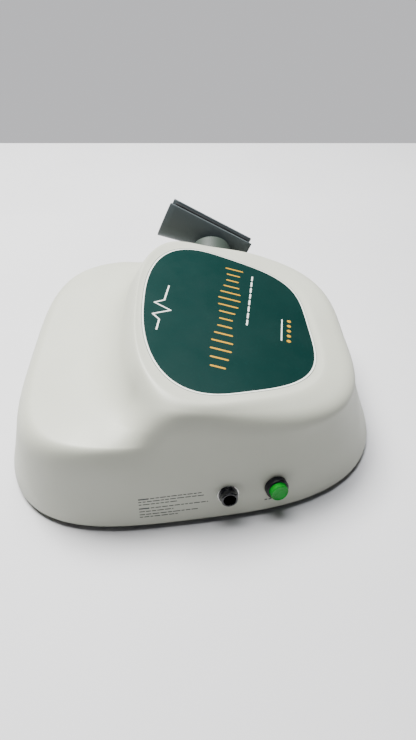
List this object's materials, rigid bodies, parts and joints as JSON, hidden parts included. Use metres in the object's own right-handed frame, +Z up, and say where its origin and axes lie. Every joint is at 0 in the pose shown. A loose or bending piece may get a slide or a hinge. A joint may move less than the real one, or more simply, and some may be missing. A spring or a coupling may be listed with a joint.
{
  "type": "physiotherapy console",
  "caption": "Desktop physiotherapy console: moulded housing with a sloped label on a raised head, a lit push button, a probe socket and a swivelling probe cradle.",
  "frame": {"origin": "middle of the footprint box, on the table surface under the feet", "axes": "+Z up, -Y towards the front edge of the sloped label, -X the control wall with the push button and the probe socket, +X the side with the probe cradle"},
  "size_m": [0.3686, 0.347, 0.1389],
  "materials": {
    "housing_plastic": "fine-textured warm white moulding",
    "label_film": "semi-gloss printed film",
    "base_black": "black powder coat",
    "zinc_steel": "zinc plated",
    "foot_rubber": "matte",
    "black_plastic": "moulded",
    "socket_black": "semi-gloss",
    "green_lens": "translucent green",
    "white_nylon": "natural nylon",
    "spring_steel": "drawn wire",
    "switch_tan": "phenolic",
    "contact_brass": "bright",
    "nickel_plate": "nickel plated",
    "cradle_grey": "fine-textured grey moulding",
    "liner_black": "matte",
    "fuse_glass": "clear tube",
    "core_steel": "varnished laminations",
    "coil_wrap": "amber tape",
    "board_green": "solder mask",
    "heat_sink_alu": "black-grey anodised",
    "can_blue": "printed sleeve",
    "lead_brown": "insulated wire",
    "lead_red": "insulated wire",
    "lead_blue": "insulated wire",
    "lead_black": "sheathed cable"
  },
  "bodies": {
    "base": {"upper_housing": "housing_plastic", "overlay_label": "label_film", "base_plate": "base_black", "base_screws": "zinc_steel", "foot_front_left": "foot_rubber", "foot_front_right": "foot_rubber", "foot_rear_left": "foot_rubber", "foot_rear_right": "foot_rubber", "button_bezel": "black_plastic", "button_spring": "spring_steel", "button_nut": "black_plastic", "switch_block": "switch_tan", "switch_terminals": "contact_brass", "socket_shell": "socket_black", "socket_insert": "black_plastic", "socket_pins": "contact_brass", "socket_ring": "nickel_plate", "socket_nut": "nickel_plate", "holder_hub": "housing_plastic", "pivot_bolt": "zinc_steel", "pivot_nut": "zinc_steel", "friction_washer": "white_nylon", "inlet_body": "black_plastic", "inlet_pins": "nickel_plate", "inlet_screws": "zinc_steel", "transformer_core": "core_steel", "transformer_coil": "coil_wrap", "transformer_strap": "zinc_steel", "transformer_screws": "zinc_steel", "circuit_board": "board_green", "board_standoffs": "contact_brass", "board_screws": "zinc_steel", "heat_sink": "heat_sink_alu", "power_transistors": "black_plastic", "capacitors": "can_blue", "board_headers": "white_nylon", "buzzer": "black_plastic", "inlet_leads": "lead_brown", "supply_leads": "lead_red", "switch_leads": "lead_blue", "socket_leads": "lead_black"},
    "button": {"button_cap": "green_lens", "button_plunger": "white_nylon"},
    "holder": {"probe_cradle": "cradle_grey", "cradle_liner": "liner_black"},
    "drawer": {"fuse_drawer": "black_plastic", "fuse": "fuse_glass"}
  },
  "joints": [
    {"name": "button_press", "type": "slide", "parent": "base", "child": "button", "axis": [0.9505, 0.2195, -0.2199], "range_m": [0, 0.003], "stiffness_N_per_m": 300, "springref_m": -0.004, "deforming": ["button_spring"]},
    {"name": "holder_swivel", "type": "hinge", "parent": "base", "child": "holder", "pos_m": [0.10653, -0.025, 0.0822], "axis": [0.9703, 0, 0.2419], "range_deg": [-60, 60]},
    {"name": "drawer_slide", "type": "slide", "parent": "base", "child": "drawer", "axis": [0, 1, 0], "range_m": [0, 0.018]}
  ]
}
